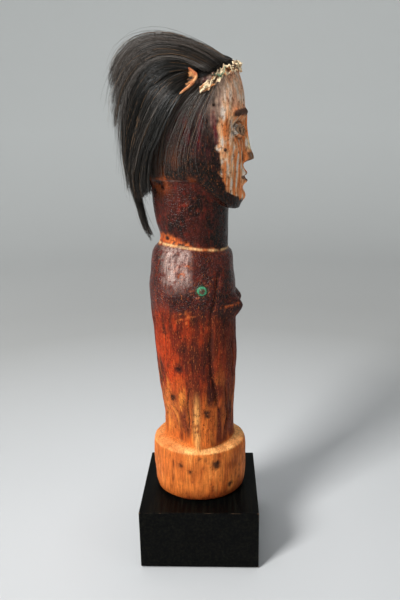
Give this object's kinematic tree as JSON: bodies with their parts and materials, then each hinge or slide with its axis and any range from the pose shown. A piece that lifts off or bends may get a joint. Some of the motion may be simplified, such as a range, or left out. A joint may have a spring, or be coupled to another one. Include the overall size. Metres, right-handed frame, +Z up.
{
  "type": "carved ancestor figure",
  "caption": "Standing carved wood figure with a laced hide and hair headdress, pinned on a square black display block.",
  "frame": {"origin": "centre of the felt's underside, which the object stands on", "axes": "+Z up, +X the way the figure faces, so -Y is the figure's right side"},
  "size_m": [0.1263, 0.11, 0.4723],
  "materials": {
    "carved_wood": "oiled red-brown wood, worn to pale ochre at its foot",
    "black_lacquer": "satin black over fine grain",
    "rawhide": "dry, dull, ragged",
    "fibre_lace": "dry twisted fibre",
    "hair": "long coarse hair, slightly glossy",
    "aged_brass": "green verdigris round a rubbed brown dome",
    "copper": "dull brown with green spots",
    "iron": "rusted",
    "steel": "bright drawn rod",
    "felt": "thin black felt"
  },
  "bodies": {
    "root": {"base_felt": "felt", "display_block": "black_lacquer", "mount_pin_front": "steel", "mount_pin_rear": "steel", "carved_figure": "carved_wood", "hide_cap": "rawhide", "hide_front_strip": "rawhide", "hide_side_flap_right": "rawhide", "hide_side_flap_left": "rawhide", "hairline_lacing": "fibre_lace", "hair_crown": "hair", "hair_back": "hair", "hair_nape": "hair", "hair_side_right": "hair", "hair_side_left": "hair", "hair_temple_right": "hair", "hair_temple_left": "hair", "chest_tack_right": "aged_brass", "face_edge_nail_right": "iron", "hide_tack_front_right": "copper", "hide_tack_front_left": "copper", "hide_tack_side_right": "copper", "hide_tack_side_left": "copper", "hide_tack_back": "copper"}
  },
  "joints": []
}
